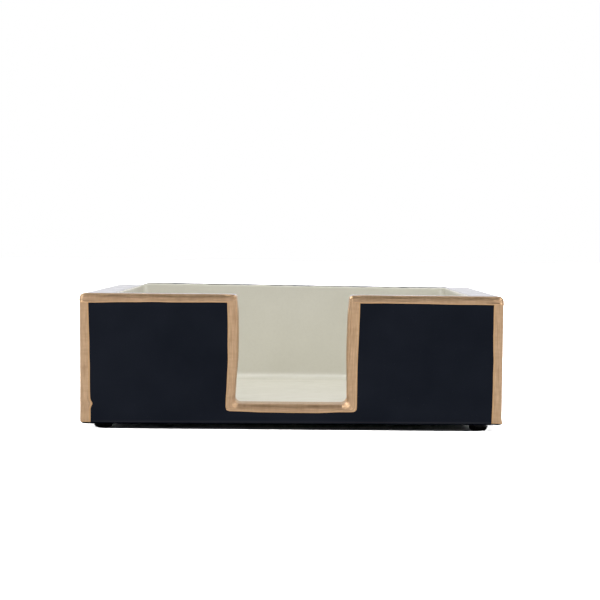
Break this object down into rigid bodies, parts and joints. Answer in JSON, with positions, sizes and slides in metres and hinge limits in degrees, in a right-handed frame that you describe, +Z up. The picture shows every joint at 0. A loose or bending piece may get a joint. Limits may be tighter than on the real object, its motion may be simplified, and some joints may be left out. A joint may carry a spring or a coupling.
{
  "type": "napkin dispenser",
  "caption": "Open-topped square napkin holder of lacquered board, dark outside and cream inside, with gilded edges, a U-shaped finger notch through the front wall and bumper feet.",
  "frame": {"origin": "on the table top under the middle of the holder, at the centre of its bounding box's bottom face", "axes": "+Z up, the front wall with the finger notch faces -Y, +X to the right seen from the front"},
  "size_m": [0.1604, 0.1604, 0.0512],
  "materials": {
    "outer_lacquer": "gloss blue-black lacquer on fibreboard",
    "inner_lacquer": "satin cream lacquer",
    "gold_paint": "hand-brushed gold paint, satin",
    "brad_steel": "bright drawn wire",
    "foot_rubber": "moulded black rubber, glossy",
    "adhesive": "clear-white acrylic adhesive"
  },
  "bodies": {
    "root": {"front_panel": "outer_lacquer", "rear_panel": "outer_lacquer", "left_panel": "outer_lacquer", "right_panel": "outer_lacquer", "base_panel": "inner_lacquer", "corner_cove_front_left": "inner_lacquer", "corner_cove_front_right": "inner_lacquer", "corner_cove_rear_left": "inner_lacquer", "corner_cove_rear_right": "inner_lacquer", "floor_cove_front": "inner_lacquer", "floor_cove_rear": "inner_lacquer", "floor_cove_left": "inner_lacquer", "floor_cove_right": "inner_lacquer", "gold_band_front": "gold_paint", "gold_band_rear": "gold_paint", "gold_band_left": "gold_paint", "gold_band_right": "gold_paint", "corner_brads_front_left": "brad_steel", "corner_brads_front_right": "brad_steel", "corner_brads_rear_left": "brad_steel", "corner_brads_rear_right": "brad_steel", "base_brads_front": "brad_steel", "base_brads_rear": "brad_steel", "base_brads_left": "brad_steel", "base_brads_right": "brad_steel", "foot_front_left": "foot_rubber", "foot_front_right": "foot_rubber", "foot_rear_left": "foot_rubber", "foot_rear_right": "foot_rubber", "foot_adhesive_front_left": "adhesive", "foot_adhesive_front_right": "adhesive", "foot_adhesive_rear_left": "adhesive", "foot_adhesive_rear_right": "adhesive"}
  },
  "joints": []
}
